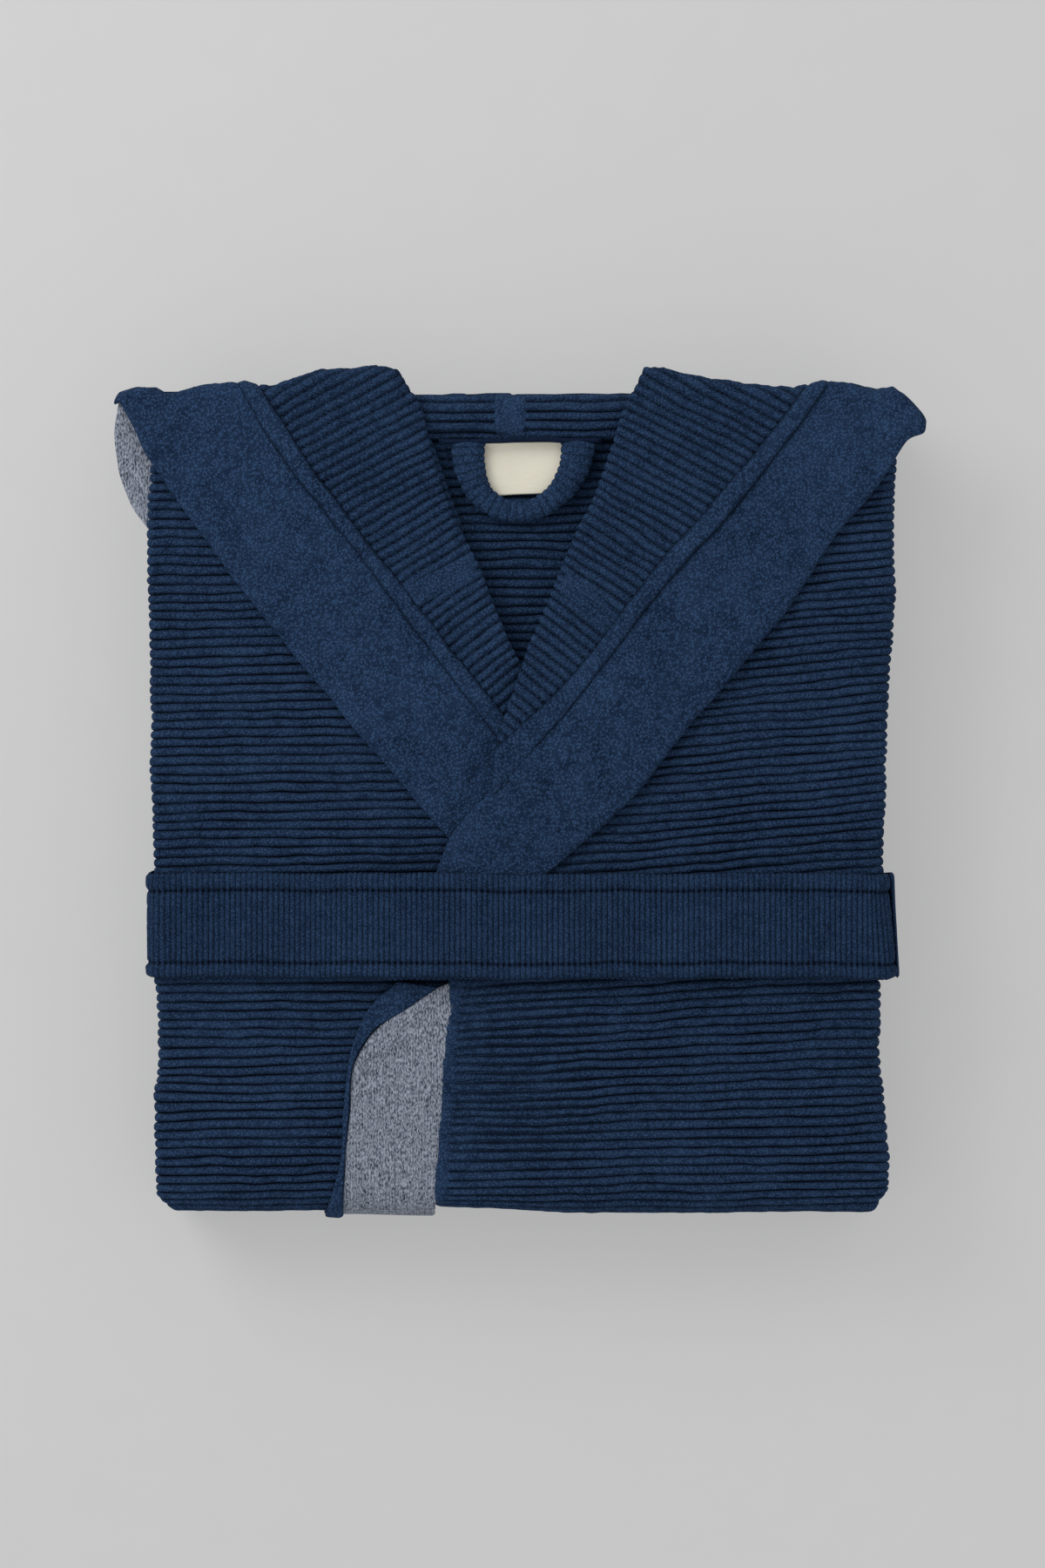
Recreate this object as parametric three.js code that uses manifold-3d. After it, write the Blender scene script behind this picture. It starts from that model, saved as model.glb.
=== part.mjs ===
// A hooded terry bathrobe, folded in thirds into a flat pack with its belt wrapped twice across it.
// Millimetres, +Z up, +Y towards the neck end. The origin is at the middle of the pack's underside.
import * as THREE from 'three';
import { mergeVertices } from 'three/addons/utils/BufferGeometryUtils.js';
import Module from 'manifold-3d';

const wasm = await Module();
wasm.setup();

// Overall sizes
const packLength = 425;        // turned-back collar to the lower fold
const collarSpan = 408;        // from tip to tip of the turned-back collar
const bodyWidth = 366;         // across the folded panels
const shoulderInset = 12.5;    // how far the panels stop short of the collar's upper edge
const cornerRadius = 12;       // the panels' corners, seen from above
const foldRadius = 18;         // the big fold at the lower end, seen from the side
const gap = 0.3;               // between pieces that lie on each other

// Neck and collar
const neckHalfWidth = 53;      // half the V opening at the neck end
const neckSeamInset = 24;      // from the panels' upper edge down to the neck seam
const vTip = [1, 61];          // where the two rolled edges cross
const collarBand = 52;         // plain terry band along the collar's outer edge
const collarRidge = 9;         // raised, topstitched seam between the band and the ribbed part
const shoulderSeam = 12;       // plain strip below the cut between collar and lapel

// Belt
const beltWidth = 52.6;
const beltCentreY = -67.5;
const beltTurn = 2;            // thickness of one turn
const beltClearance = 0.6;
const beltEndLength = 46;

// Small pieces
const tapeWidth = 6;
const tapeThickness = 2;
const labelSize = [46, 25];
const labelThickness = 1;
const loopHalfSpan = 28;       // centre line of the loop's arms, from its middle
const loopDrop = 33;           // centre line, from the neck seam to the loop's bottom
const loopWidth = 13;
const loopHeight = 7;
const facingWidth = 50;        // front facing turned out below the belt
const facingThickness = 2.5;
const pocketSize = [140, 170];
const cuffLength = 80;
const hemWidth = 28;
const beltLoopSize = [12, 60];

// Thickness of each group of cloth plies, from the underside up
const plies = {
  middleFront: 8,
  pocket: 2.5,
  middleBack: 5,
  lowerBack: 6,
  lowerFront: 7.5,
  sleeve: 12,
  hood: 5,
  back: 4,
  frontLeft: 7,
  lapelLeft: 3,
  frontRight: 2.2,
  lapelRight: 3,
};
const frontWall = 8;           // cloth in the big fold, fronts
const backWall = 5;            // cloth in the big fold, back panel
const frontEndWall = 6;        // cloth in the fold at the neck end, fronts

// Height of each group: low and high faces
const level = {};
let stackTop = 0;
for (const [name, thickness] of Object.entries(plies)) {
  level[name] = { low: stackTop, high: stackTop + thickness };
  stackTop += thickness + gap;
}

// Places worked out from the sizes above
const collarTop = packLength / 2;
const lowerFold = -packLength / 2;
const shoulderY = collarTop - shoulderInset;
const neckSeamY = shoulderY - neckSeamInset;
const halfBody = bodyWidth / 2;
const beltUpperY = beltCentreY + beltWidth / 2;
const beltLowerY = beltCentreY - beltWidth / 2;
const beltStack = 2 * beltTurn + gap;
const beltInnerTop = level.lapelRight.high + beltClearance;
const beltLeftTop = level.frontLeft.high + beltClearance;   // lower on the left, where fewer plies lie
const beltRiseX = -106;                          // where the belt starts to rise over the facing
const beltRise = 36;
const recessHeight = beltStack + gap;            // room under the pack for the belt
const recessEndY = beltUpperY + 3;
const frontSplitX = -42;                         // seam of the right front's facing
const seamTop = [frontSplitX + 5, beltLowerY - 2];
const seamBottom = [frontSplitX - 5, lowerFold + 6];

// Rolled edges of the V, from the neck end down; the collar turns about the first stretch of each
const rollLeft = [[-neckHalfWidth, shoulderY], [-22, 115], vTip];
const rollRight = [[neckHalfWidth, shoulderY], [20, 112], vTip];

// How far the V reaches from the middle at a height y, on its narrower side, less a gap.
function veeHalfWidth(y) {
  const [[topX, topY], [cutX, cutY]] = rollRight;
  return topX - ((topX - cutX) * (topY - y)) / (topY - cutY) - gap;
}

const colour = {
  ribs: 0x21385c,
  band: 0x24406a,
  seam: 0x1a2d4d,
  melange: 0x808a9b,
  label: 0xece8d6,
  belt: 0x203a60,
};

// Closed outline with optional corner radii: each corner is [x, y] or [x, y, radius].
function outline(corners) {
  const shape = new THREE.Shape();
  const count = corners.length;
  corners.forEach(([x, y, radius = 0], index) => {
    const here = new THREE.Vector2(x, y);
    const towards = ([otherX, otherY]) => new THREE.Vector2(otherX, otherY).sub(here).setLength(radius).add(here);
    const start = towards(corners[(index + count - 1) % count]);
    const end = towards(corners[(index + 1) % count]);
    if (index === 0) {
      shape.moveTo(start.x, start.y);
    } else {
      shape.lineTo(start.x, start.y);
    }
    if (radius > 0) {
      shape.quadraticCurveTo(x, y, end.x, end.y);
    }
  });
  return shape;
}

// A three.js geometry as a manifold solid, facing out.
function solid(geometry) {
  geometry.deleteAttribute('normal');
  geometry.deleteAttribute('uv');
  const merged = mergeVertices(geometry, 1e-4);
  const triVerts = Uint32Array.from(merged.index.array);
  const vertProperties = Float32Array.from(merged.attributes.position.array);
  return new wasm.Manifold(new wasm.Mesh({ numProp: 3, vertProperties, triVerts }));
}

function extruded(shape, depth) {
  return new THREE.ExtrudeGeometry(shape, { depth, bevelEnabled: false, curveSegments: 5 });
}

// Prism standing on an outline in the XY plane.
function prismUp(corners, low, high) {
  return solid(extruded(outline(corners), high - low).translate(0, 0, low));
}

// Prism along X from a profile of (y, z) corners.
function prismAcross(corners, left, right) {
  const toWorld = new THREE.Matrix4().makeBasis(
    new THREE.Vector3(0, 1, 0), new THREE.Vector3(0, 0, 1), new THREE.Vector3(1, 0, 0));
  return solid(extruded(outline(corners), right - left).applyMatrix4(toWorld).translate(left, 0, 0));
}

// Prism along Y from a shape in (x, z).
function prismAlong(shape, near, far) {
  return solid(extruded(shape, far - near).rotateX(Math.PI / 2).translate(0, far, 0));
}

function rectangle(left, near, right, far, radius = 0) {
  return [[left, near, radius], [right, near, radius], [right, far, radius], [left, far, radius]];
}

function block(left, near, right, far, { low, high }) {
  return prismUp(rectangle(left, near, right, far), low, high);
}

// Bodies: nested groups, each at the point that its pieces turn or slide about.
const bathrobe = new THREE.Group();

function body(x, y, z) {
  const group = new THREE.Group();
  group.position.set(x, y, z);
  bathrobe.add(group);
  return group;
}

function addPart(name, piece, tint, group = bathrobe) {
  const { vertProperties, triVerts, numProp } = piece.getMesh();
  const geometry = new THREE.BufferGeometry();
  const place = group === bathrobe ? new THREE.Vector3() : group.position;
  geometry.setAttribute('position', new THREE.BufferAttribute(Float32Array.from(vertProperties), numProp));
  geometry.setIndex(new THREE.BufferAttribute(Uint32Array.from(triVerts), 1));
  geometry.translate(-place.x, -place.y, -place.z);
  geometry.computeVertexNormals();
  const material = new THREE.MeshStandardMaterial({ color: tint, roughness: 0.95, metalness: 0 });
  const mesh = new THREE.Mesh(geometry, material);
  mesh.name = name;
  group.add(mesh);
}

// ---- The skirt's folds ----------------------------------------------------------------------------

// Side view of one panel: over the top, round the lower fold, under the pack, round the neck-end fold
// and back inside to its end. Corners are (y, z).
function foldedProfile(nested, wall, endWall, upper, middle, lower, armEnd, insideEnd) {
  const near = lowerFold + nested;
  const far = shoulderY - 2 - nested * 0.8;
  const radius = foldRadius - nested;
  return [
    [armEnd, upper.high],
    [near, upper.high, radius],
    [near, middle.low, Math.min(radius, 8)],
    [far, middle.low, endWall],
    [far, lower.high, endWall],
    [insideEnd, lower.high],
    [insideEnd, lower.low],
    [far - endWall, lower.low],
    [far - endWall, middle.high],
    [near + wall, middle.high],
    [near + wall, upper.low],
    [armEnd, upper.low],
  ];
}

const planOutline = rectangle(-halfBody, lowerFold, halfBody, shoulderY, cornerRadius);
const plan = prismUp(planOutline, -1, stackTop);
const beltRecess = block(-halfBody - 1, lowerFold - 1, halfBody + 1, recessEndY, { low: -1, high: recessHeight });
const hemEndY = lowerFold + frontWall + backWall + 4;
const lowerEndY = hemEndY + hemWidth + gap;
const foldArmY = lowerFold + 30;

function frontLeft() {
  const top = prismUp([
    [-halfBody, foldArmY - 5], [frontSplitX - 2, foldArmY - 5], [60, foldArmY + 5], [60, 20], ...rollLeft.toReversed(),
    [-halfBody, shoulderY],
  ], level.frontLeft.low, level.frontLeft.high);
  const profile = foldedProfile(
    0, frontWall, frontEndWall, level.frontLeft, level.middleFront, level.lowerFront, foldArmY, lowerEndY);
  const skirt = prismAcross(profile, -halfBody, frontSplitX - gap);
  return top.add(skirt).intersect(plan).subtract(beltRecess);
}

function frontRight() {
  const upper = { low: level.frontLeft.low, high: level.frontRight.high };
  const crossing = prismUp([
    seamBottom, [64, seamBottom[1]], [64, shoulderY], ...rollRight, [-14, 20], [-40, beltUpperY], seamTop,
  ], level.frontRight.low, upper.high);
  const side = block(60 + gap, lowerFold + foldRadius + 2, halfBody, shoulderY, upper);
  const profile = foldedProfile(
    0, frontWall, frontEndWall, upper, level.middleFront, level.lowerFront, lowerFold + 24, lowerEndY);
  const skirt = prismAcross(profile, frontSplitX, halfBody);
  const openCorner = block(frontSplitX - 9, lowerFold - 1, frontSplitX, foldArmY, level.frontRight);
  const beyondVee = prismUp([[0, shoulderY + 1], ...rollRight, [-60, 61], [-60, shoulderY + 1]], upper.low, upper.high + 1);
  return crossing.subtract(openCorner).add(side.subtract(beyondVee)).add(skirt).intersect(plan).subtract(beltRecess);
}

function backPanel() {
  const neckNotch = neckHalfWidth + 1;
  const top = prismUp([
    [-halfBody, lowerFold + frontWall + 6], [halfBody, lowerFold + frontWall + 6], [halfBody, shoulderY],
    [neckNotch, shoulderY], [neckNotch, neckSeamY], [-neckNotch, neckSeamY], [-neckNotch, shoulderY],
    [-halfBody, shoulderY],
  ], level.back.low, level.back.high);
  const profile = foldedProfile(
    frontWall + gap, backWall, backWall, level.back, level.middleBack, level.lowerBack, foldArmY, lowerEndY);
  return top.add(prismAcross(profile, -halfBody, halfBody)).intersect(plan);
}

addPart('back_panel', backPanel(), colour.ribs);
addPart('front_left', frontLeft(), colour.ribs);
addPart('front_right', frontRight(), colour.ribs);
addPart('hem', block(-halfBody + 3, hemEndY, halfBody - 3, hemEndY + hemWidth,
  { low: level.lowerBack.low, high: level.lowerFront.high }), colour.band);

// ---- Pieces held inside the fold, one on each side ----------------------------------------------------

for (const [side, direction] of [['left', -1], ['right', 1]]) {
  // Spans run outwards from the middle, whichever side they are on.
  const span = (inner, outer) => [direction * inner, direction * outer].toSorted((a, b) => a - b);
  const piece = (inner, outer, near, far, height) => {
    const [left, right] = span(inner, outer);
    return block(left, near, right, far, height);
  };
  const cuffEnd = hemEndY + cuffLength;
  addPart(`sleeve_${side}`, piece(1, halfBody - 2, cuffEnd + gap, shoulderY - 4, level.sleeve), colour.ribs);
  addPart(`cuff_${side}`, piece(12, halfBody - 14, hemEndY, cuffEnd, level.sleeve), colour.band);
  const [pocketWidth, pocketDepth] = pocketSize;
  addPart(`pocket_${side}`, piece(28, 28 + pocketWidth, -10, -10 + pocketDepth, level.pocket), colour.ribs);
  const [loopAcross, loopAlong] = beltLoopSize;
  addPart(`belt_loop_${side}`,
    piece(halfBody - 30 - loopAcross, halfBody - 30, beltUpperY - 20 - loopAlong, beltUpperY - 20, level.pocket),
    colour.band);
}

// ---- Hood, neck tape, loop and label ---------------------------------------------------------------------

const stripTop = level.back.high + 3;             // the hood's strip that shows behind the neck seam
const hoodMeetX = -5;                             // the hood's centre seam
const tapeLevel = { low: level.back.high + gap, high: level.back.high + gap + tapeThickness };

function hoodHalf(left, right, outerLeft, outerRight) {
  const folded = block(outerLeft, 40, outerRight, shoulderY - 2, level.hood);
  const strip = block(left, neckSeamY + gap, right, shoulderY - 2, { low: level.hood.low, high: stripTop });
  return folded.add(strip);
}

const stripHalfWidth = veeHalfWidth(neckSeamY);
const tapeHalfWidth = veeHalfWidth(neckSeamY - tapeWidth);
const hoodLeft = hoodHalf(-stripHalfWidth, hoodMeetX - gap / 2, -120, hoodMeetX - gap / 2);
const hoodRight = hoodHalf(hoodMeetX + gap / 2, stripHalfWidth, hoodMeetX + gap / 2, 120);
addPart('hood_left', hoodLeft, colour.ribs);
addPart('hood_right', hoodRight, colour.ribs);
addPart('hood_centre_seam', block(hoodMeetX - 7, neckSeamY + gap, hoodMeetX + 7, shoulderY - 2,
  { low: stripTop + gap, high: stripTop + gap + 1 }), colour.band);
addPart('neck_tape', block(-tapeHalfWidth, neckSeamY - tapeWidth, tapeHalfWidth, neckSeamY, tapeLevel),
  colour.seam);

const sewnY = neckSeamY - tapeWidth - gap;        // where the loop and the label leave the tape
const labelLevel = { low: tapeLevel.low, high: tapeLevel.low + labelThickness };
const loopAxisZ = labelLevel.high + gap + loopHeight / 2;

function hangLoop() {
  const straight = loopDrop - loopHalfSpan + 4;
  const path = new THREE.CurvePath();
  const point = (x, y) => new THREE.Vector3(x, sewnY - y, loopAxisZ);
  path.add(new THREE.LineCurve3(point(-loopHalfSpan, 0), point(-loopHalfSpan, straight)));
  path.add(new THREE.CubicBezierCurve3(
    point(-loopHalfSpan, straight), point(-loopHalfSpan, loopDrop + 4), point(loopHalfSpan, loopDrop + 4),
    point(loopHalfSpan, straight)));
  path.add(new THREE.LineCurve3(point(loopHalfSpan, straight), point(loopHalfSpan, 0)));
  const section = new THREE.Shape();
  section.absellipse(0, 0, loopHeight / 2, loopWidth / 2, 0, 2 * Math.PI);
  return solid(new THREE.ExtrudeGeometry(section, { extrudePath: path, steps: 28, curveSegments: 5 }));
}

const loopBody = body(0, sewnY, loopAxisZ);
addPart('hang_loop', hangLoop(), colour.ribs, loopBody);
const labelBody = body(0, sewnY, labelLevel.high);
const [labelAcross, labelAlong] = labelSize;
addPart('neck_label', block(3 - labelAcross / 2, sewnY - labelAlong, 3 + labelAcross / 2, sewnY, labelLevel),
  colour.label, labelBody);

// ---- Collar and lapels -----------------------------------------------------------------------------------

const leftEdge = new THREE.QuadraticBezierCurve(
  new THREE.Vector2(-collarSpan / 2, shoulderY - 4), new THREE.Vector2(-135, 85), new THREE.Vector2(-12, -54));
const rightEdge = new THREE.QuadraticBezierCurve(
  new THREE.Vector2(collarSpan / 2, shoulderY - 12), new THREE.Vector2(92.5, 24), new THREE.Vector2(-37, beltLowerY + 2));
const edgeSteps = 6;

// Points at a distance from an edge curve, inwards, run on past both ends.
function alongside(curve, distance, inward) {
  const runOn = 25;
  const points = [];
  for (let step = 0; step <= edgeSteps; step += 1) {
    const t = step / edgeSteps;
    const along = curve.getTangent(t);
    const across = new THREE.Vector2(-along.y, along.x).multiplyScalar(inward * distance);
    const extra = (step === 0 ? -runOn : 0) + (step === edgeSteps ? runOn : 0);
    const place = curve.getPoint(t).add(across).addScaledVector(along, extra);
    points.push([place.x, place.y]);
  }
  return points;
}

// The strip between two distances from the edge, through the whole thickness of a lapel.
function strip(curve, from, to, inward, height) {
  const corners = [...alongside(curve, from, inward), ...alongside(curve, to, inward).toReversed()];
  return prismUp(corners, height.low - 1, height.high + 1);
}

function collarSide(side, region, edge, roll, inward, height) {
  const [rollTop, rollCut] = roll;
  const along = new THREE.Vector2(rollTop[0] - rollCut[0], rollTop[1] - rollCut[1]).normalize();
  const outward = new THREE.Vector2(-along.y, along.x).multiplyScalar(inward);
  const corner = (out, up) => {
    const place = new THREE.Vector2(...rollCut).addScaledVector(outward, out).addScaledVector(along, up);
    return [place.x, place.y];
  };
  const slice = (low, high) => prismUp(
    [corner(-90, low), corner(400, low), corner(400, high), corner(-90, high)], height.low - 1, height.high + 1);
  const whole = prismUp(region, height.low, height.high);
  const band = whole.intersect(strip(edge, -9, collarBand, inward, height));
  const ridgeStart = collarBand + gap;
  const ridge = whole.intersect(strip(edge, ridgeStart, ridgeStart + collarRidge, inward, height));
  const ribs = whole.subtract(strip(edge, -9, ridgeStart + collarRidge + gap, inward, height));
  const upper = slice(0, 400);
  const lower = slice(-500, -gap);
  const seam = slice(-gap - shoulderSeam, -gap);
  const belowSeam = slice(-500, -2 * gap - shoulderSeam);
  const hinged = body(rollCut[0], rollCut[1], height.low);
  addPart(`collar_${side}`, ribs.intersect(upper), colour.ribs, hinged);
  addPart(`collar_ridge_${side}`, ridge.intersect(upper), colour.band, hinged);
  addPart(`collar_band_${side}`, band.intersect(upper), colour.band, hinged);
  addPart(`shoulder_seam_${side}`, ribs.intersect(seam), colour.seam);
  addPart(`lapel_${side}`, ribs.intersect(belowSeam), colour.ribs);
  addPart(`lapel_ridge_${side}`, ridge.intersect(lower), colour.band);
  addPart(`lapel_band_${side}`, band.intersect(lower), colour.band);
}

const leftRegion = [
  ...rollLeft, [34, -20], [-12, -54],
  ...alongside(leftEdge, 0, 1).slice(1, -1).toReversed(),
  [-collarSpan / 2, shoulderY - 4], [-152, shoulderY + 3], [-100, collarTop - 2], [-66, collarTop],
];
const rightRegion = [
  ...rollRight.toReversed(), [66, collarTop], [102, collarTop - 6], [140, shoulderY + 2], [198, shoulderY - 1],
  [collarSpan / 2, shoulderY - 12],
  ...alongside(rightEdge, 0, -1).slice(1, -1),
  [-37, beltLowerY + 2], [-60, beltLowerY + 2], [-40, beltUpperY], [-14, 20],
];
collarSide('left', leftRegion, leftEdge, rollLeft, 1, level.lapelLeft);
collarSide('right', rightRegion, rightEdge, rollRight, -1, level.lapelRight);

// ---- Front facing below the belt -----------------------------------------------------------------------------

const facingLow = level.lapelLeft.low;
const facingBody = body(seamTop[0] - gap, seamTop[1], level.frontRight.high);
addPart('front_facing', prismUp([
  [seamTop[0] - gap, seamTop[1]], [seamBottom[0] - gap, foldArmY - 10],
  [seamBottom[0] - facingWidth + 1, foldArmY - 10], [seamTop[0] - facingWidth, -135, 8],
  [seamTop[0] - facingWidth + 21, seamTop[1]],
], facingLow, facingLow + facingThickness), colour.melange, facingBody);

// ---- Belt -----------------------------------------------------------------------------------------------------

// One turn: a flat ring round the pack, seen along Y. nested is how far it lies outside the inner turn.
function beltTurnRing(nested) {
  const frame = (out) => {
    const side = halfBody + beltClearance + nested + out;
    const low = beltStack - nested - out;
    const high = beltInnerTop + nested + out;
    const lowRadius = 0.8 + nested + out;
    const highRadius = 3 + nested + out;
    const leftHigh = beltLeftTop + nested + out;
    return outline([
      [-side, low, lowRadius], [side, low, lowRadius], [side, high, highRadius],
      [beltRiseX + beltRise, high, highRadius], [beltRiseX, leftHigh, highRadius], [-side, leftHigh, lowRadius],
    ]);
  };
  const ring = frame(beltTurn);
  ring.holes.push(frame(0));
  return prismAlong(ring, beltLowerY, beltUpperY);
}

const beltBody = body(0, beltCentreY, 0);
addPart('belt_inner_turn', beltTurnRing(0), colour.belt, beltBody);
addPart('belt_outer_turn', beltTurnRing(beltTurn + gap), colour.belt, beltBody);
const beltSide = halfBody + beltClearance + 2 * (beltTurn + gap);
addPart('belt_end', block(beltSide, beltLowerY + 1, beltSide + beltTurn, beltUpperY - 1,
  { low: 16, high: 16 + beltEndLength }), colour.belt, beltBody);

export default bathrobe;
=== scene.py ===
"""A navy hooded bathrobe folded into a flat pack with its belt round it, built around its CAD frame."""

import math

import bpy
import numpy as np
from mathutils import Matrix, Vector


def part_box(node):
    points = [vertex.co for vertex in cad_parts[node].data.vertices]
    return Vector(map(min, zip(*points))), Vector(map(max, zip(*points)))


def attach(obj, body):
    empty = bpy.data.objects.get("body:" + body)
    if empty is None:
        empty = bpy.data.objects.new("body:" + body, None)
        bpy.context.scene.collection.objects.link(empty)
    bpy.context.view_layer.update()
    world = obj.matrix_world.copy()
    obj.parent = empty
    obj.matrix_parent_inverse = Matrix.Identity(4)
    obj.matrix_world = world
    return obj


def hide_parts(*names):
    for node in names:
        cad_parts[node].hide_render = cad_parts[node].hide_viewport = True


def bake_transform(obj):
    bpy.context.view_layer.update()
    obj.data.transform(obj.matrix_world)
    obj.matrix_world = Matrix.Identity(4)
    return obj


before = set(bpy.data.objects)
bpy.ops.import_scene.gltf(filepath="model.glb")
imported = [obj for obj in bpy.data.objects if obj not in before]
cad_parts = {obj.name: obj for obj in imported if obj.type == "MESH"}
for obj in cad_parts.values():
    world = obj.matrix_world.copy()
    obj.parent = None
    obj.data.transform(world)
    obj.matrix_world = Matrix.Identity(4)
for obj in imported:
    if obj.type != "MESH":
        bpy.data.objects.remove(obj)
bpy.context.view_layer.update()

MM = 0.001                      # everything below is worked out in millimetres
BODY_RIB = 4.57                 # rib pitch of the cloth
COLLAR_RIB = 4.9
BELT_RIB = 2.7
LOOP_RIB = 4.0
RIB_DEPTH = 2.2
RIB_SAMPLES = (0.0, 0.09, 0.24, 0.5, 0.76, 0.91)     # rows across one rib, close together at the groove
COLLAR_PROUD = 2.1              # half thickness of the turned-back collar
COLLAR_ROLL = 4.5               # radius with which the collar rolls down over the neck end
THIN_PLY = 2.4                  # thickness of the right front where it lies over the left one
CLOTH_RISE = 0.4                # how far the fronts' crowns stand above their CAD tops
BELT_LEAN = 3.5                 # how far the belt's right side leans in at its upper edge
BELT_BOTH = 4.3                 # from the belt's outer CAD face in to its inner turn's inner face
BACK_HALF = 179                 # half width of the back and of the hem
FAR_ON = 2000                   # a length past the end of every path


# ---- Places from the frame -----------------------------------------------------------------------

def box_mm(node):
    low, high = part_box(node)
    return np.array(low) / MM, np.array(high) / MM


LEFT_TOP = box_mm("front_left")[1][2]
RIGHT_TOP = box_mm("front_right")[1][2]
LOWER_FOLD = box_mm("front_left")[0][1]
SHOULDER = box_mm("front_left")[1][1]
FRONT_LOW = box_mm("front_left")[0][2]
BACK_LOW = box_mm("back_panel")[0][2]
BACK_TOP = box_mm("back_panel")[1][2]
POCKET_LOW = box_mm("pocket_left")[0][2]
HEM_LOW, HEM_HIGH = (corner[2] for corner in box_mm("hem"))
HEM_NEAR, HEM_FAR = (corner[1] for corner in box_mm("hem"))
SLEEVE_LOW, SLEEVE_HIGH = (corner[2] for corner in box_mm("sleeve_left"))
CUFF_NEAR, CUFF_FAR = (corner[1] for corner in box_mm("cuff_left"))
HOOD_LOW, STRIP_TOP = (corner[2] for corner in box_mm("hood_left"))
NECK_SEAM = box_mm("neck_tape")[1][1]
BELT_NEAR, BELT_FAR = (corner[1] for corner in box_mm("belt_outer_turn"))
BELT_SIDE = box_mm("belt_outer_turn")[1][0]
BELT_TOP = box_mm("belt_outer_turn")[1][2]
COLLAR_LEFT_LOW = box_mm("collar_left")[0][2]
COLLAR_RIGHT_LOW = box_mm("collar_right")[0][2]
FOLD_MIDDLE = 0.5 * (HEM_LOW + HEM_HIGH) - 0.8        # between the lower panel's back and front plies
GAP = 0.3
RECESS = BELT_TOP - RIGHT_TOP - 3.6 + GAP             # room under the pack for the belt


# ---- Small mathematics ---------------------------------------------------------------------------

def smooth(t):
    t = np.clip(t, 0, 1)
    return t * t * (3 - 2 * t)


def noise(seed, x, y, cell_x, cell_y=None):
    """Smooth value noise from -1 to 1, with one random value per cell."""
    size = 97
    table = np.random.default_rng(seed).uniform(-1, 1, (size, size))
    grid_x, grid_y = np.asarray(x) / cell_x, np.asarray(y) / (cell_y or cell_x)
    ix, iy = np.floor(grid_x).astype(int), np.floor(grid_y).astype(int)
    fx, fy = smooth(grid_x - ix), smooth(grid_y - iy)
    ax, bx, ay, by = ix % size, (ix + 1) % size, iy % size, (iy + 1) % size
    near = table[ax, ay] * (1 - fx) + table[bx, ay] * fx
    far = table[ax, by] * (1 - fx) + table[bx, by] * fx
    return near * (1 - fy) + far * fy


def rib(phase):
    """Height of a rib from 0 in its groove to 1 on its crown."""
    return np.abs(np.sin(math.pi * phase)) ** 0.6


def rim(distance, radius):
    """Height of a rounded edge, 0 at the edge and 1 from radius inwards."""
    t = np.clip(distance / radius, 0, 1)
    return np.sqrt(1 - (1 - t) ** 2)


def rib_rows(length, pitch):
    """Places along a length, a few per rib, that fall on the ribs' grooves and crowns."""
    count = max(1, round(length / pitch))
    steps = np.add.outer(np.arange(count), RIB_SAMPLES).ravel()
    return np.append(steps, count) / count * length


def curve(points, share):
    """Smooth curve through given points, at shares of its length."""
    points = np.array(points, float)
    chord = np.append(0, np.cumsum(np.linalg.norm(np.diff(points, axis=0), axis=1)))
    chord /= chord[-1]
    slope = np.gradient(points, chord, axis=0)
    index = np.clip(np.searchsorted(chord, share, side="right") - 1, 0, len(points) - 2)
    span = (chord[index + 1] - chord[index])[:, None]
    t = ((share - chord[index])[:, None]) / span
    start, end = points[index], points[index + 1]
    rise, fall = slope[index] * span, slope[index + 1] * span
    return ((2 * t**3 - 3 * t**2 + 1) * start + (t**3 - 2 * t**2 + t) * rise
            + (3 * t**2 - 2 * t**3) * end + (t**3 - t**2) * fall)


class Path:
    """A side view of a cloth's outer face: straight stretches with rounded corners (u, v, cut)."""

    def __init__(self, corners, closed=False):
        points = [np.array(corners[0][:2], float)]
        for before, here, after in zip(corners, corners[1:], corners[2:]):
            points.extend(self.rounded(before, here, after))
        points.append(np.array(corners[-1][:2], float))
        points = np.array(points)
        steps = np.linalg.norm(np.diff(points, axis=0), axis=1)
        keep = np.append(True, steps > 1e-6)
        self.points = points[keep]
        self.along = np.append(0, np.cumsum(np.linalg.norm(np.diff(self.points, axis=0), axis=1)))
        self.length = self.along[-1]
        self.closed = closed

    @staticmethod
    def rounded(before, here, after):
        here, cut = np.array(here[:2], float), here[2]
        to_before = np.array(before[:2]) - here
        to_after = np.array(after[:2]) - here
        start = here + to_before / np.linalg.norm(to_before) * cut
        end = here + to_after / np.linalg.norm(to_after) * cut
        for t in np.linspace(0, 1, 14):
            yield (1 - t) ** 2 * start + 2 * t * (1 - t) * here + t * t * end

    def place(self, s):
        s = np.mod(s, self.length) if self.closed else s
        return np.stack([np.interp(s, self.along, self.points[:, k]) for k in (0, 1)], -1)

    def at(self, s):
        """Point and outward normal at a length along the path."""
        reach = 1.2
        s = np.asarray(s, float)
        back, ahead = s - reach, s + reach
        if not self.closed:
            s = np.clip(s, 0, self.length)
            back, ahead = np.clip(back, 0, self.length), np.clip(ahead, 0, self.length)
        tangent = self.place(ahead) - self.place(back)
        tangent /= np.linalg.norm(tangent, axis=-1, keepdims=True) + 1e-12
        return self.place(s), np.stack([tangent[..., 1], -tangent[..., 0]], -1)


# ---- Meshes --------------------------------------------------------------------------------------

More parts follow.
